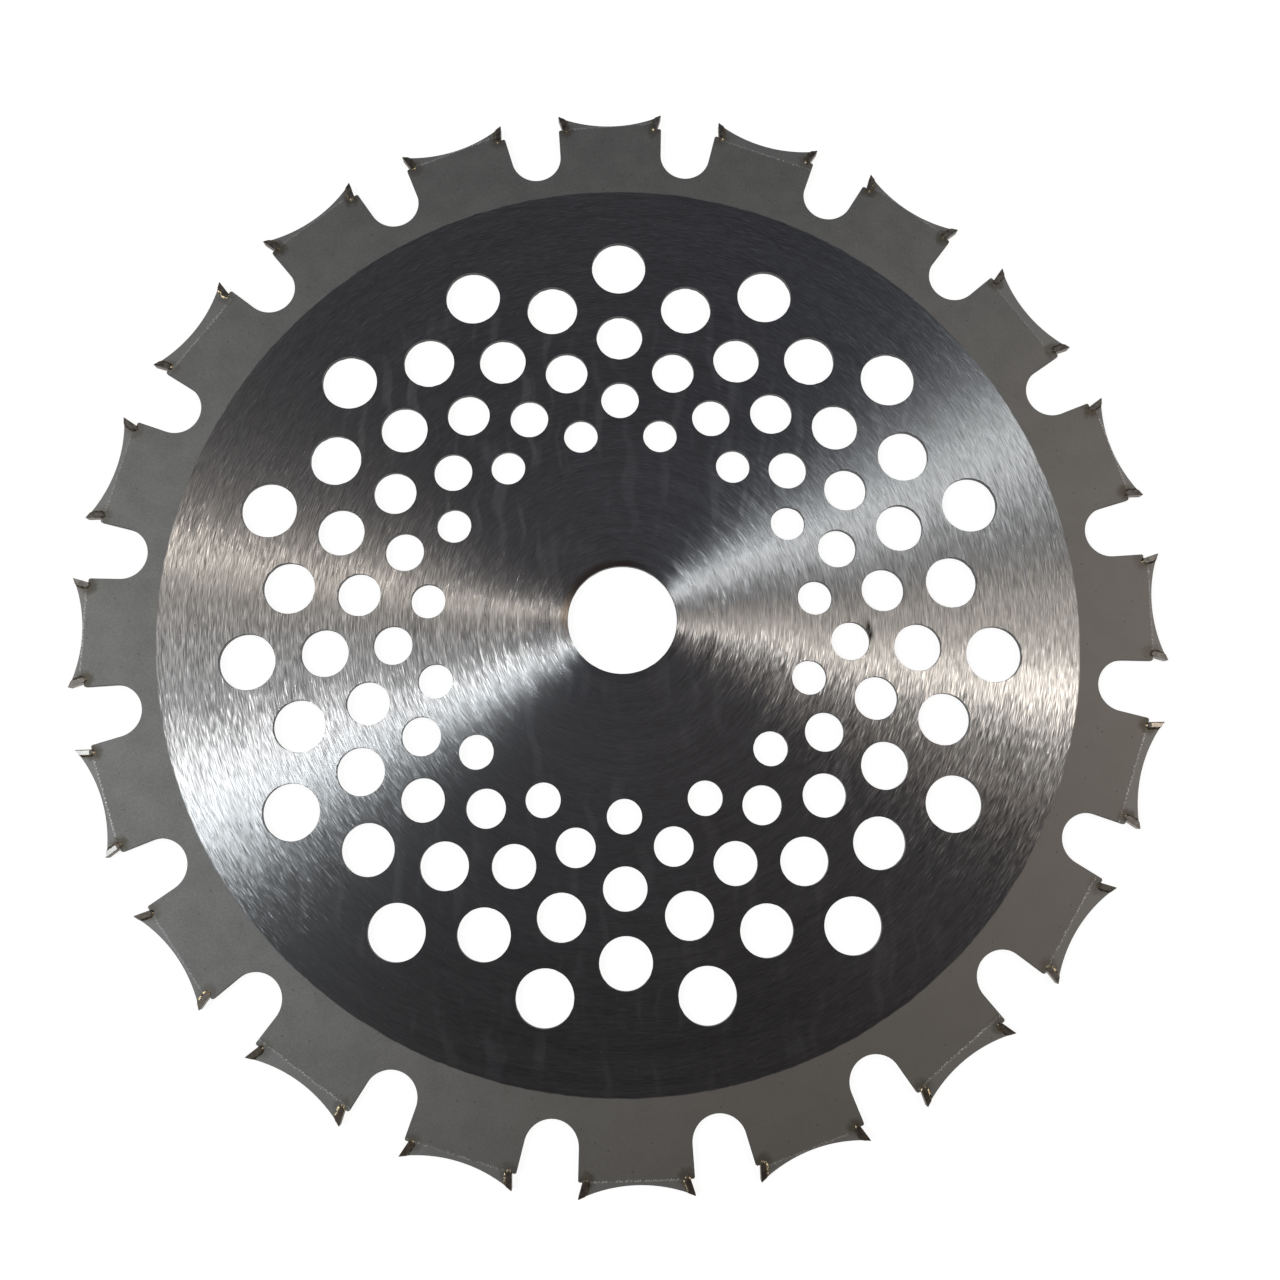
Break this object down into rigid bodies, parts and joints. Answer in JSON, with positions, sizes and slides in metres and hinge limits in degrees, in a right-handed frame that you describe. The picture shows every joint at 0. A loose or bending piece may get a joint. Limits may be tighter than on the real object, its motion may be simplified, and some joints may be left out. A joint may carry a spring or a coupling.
{
  "type": "brush cutter blade",
  "caption": "Flat round brush cutter blade with a central bore, rings of round lightening holes, round-ended gullets and a hooked carbide tip at each end of every land.",
  "frame": {"origin": "centre of the bore at half the plate's thickness", "axes": "+Z along the bore's axis, square to the plate; +Y through the middle of a hole of the outermost ring"},
  "size_m": [0.254, 0.254, 0.0022],
  "materials": {
    "plate": "ground in fine rings from the bore out, with a matte grey rim",
    "carbide": "dark ground carbide, duller at the brazed foot"
  },
  "bodies": {
    "root": {"blade_body": "plate", "carbide_tip_01_left": "carbide", "carbide_tip_01_right": "carbide", "carbide_tip_02_left": "carbide", "carbide_tip_02_right": "carbide", "carbide_tip_03_left": "carbide", "carbide_tip_03_right": "carbide", "carbide_tip_04_left": "carbide", "carbide_tip_04_right": "carbide", "carbide_tip_05_left": "carbide", "carbide_tip_05_right": "carbide", "carbide_tip_06_left": "carbide", "carbide_tip_06_right": "carbide", "carbide_tip_07_left": "carbide", "carbide_tip_07_right": "carbide", "carbide_tip_08_left": "carbide", "carbide_tip_08_right": "carbide", "carbide_tip_09_left": "carbide", "carbide_tip_09_right": "carbide", "carbide_tip_10_left": "carbide", "carbide_tip_10_right": "carbide", "carbide_tip_11_left": "carbide", "carbide_tip_11_right": "carbide", "carbide_tip_12_left": "carbide", "carbide_tip_12_right": "carbide", "carbide_tip_13_left": "carbide", "carbide_tip_13_right": "carbide", "carbide_tip_14_left": "carbide", "carbide_tip_14_right": "carbide", "carbide_tip_15_left": "carbide", "carbide_tip_15_right": "carbide", "carbide_tip_16_left": "carbide", "carbide_tip_16_right": "carbide", "carbide_tip_17_left": "carbide", "carbide_tip_17_right": "carbide", "carbide_tip_18_left": "carbide", "carbide_tip_18_right": "carbide", "carbide_tip_19_left": "carbide", "carbide_tip_19_right": "carbide", "carbide_tip_20_left": "carbide", "carbide_tip_20_right": "carbide"}
  },
  "joints": []
}
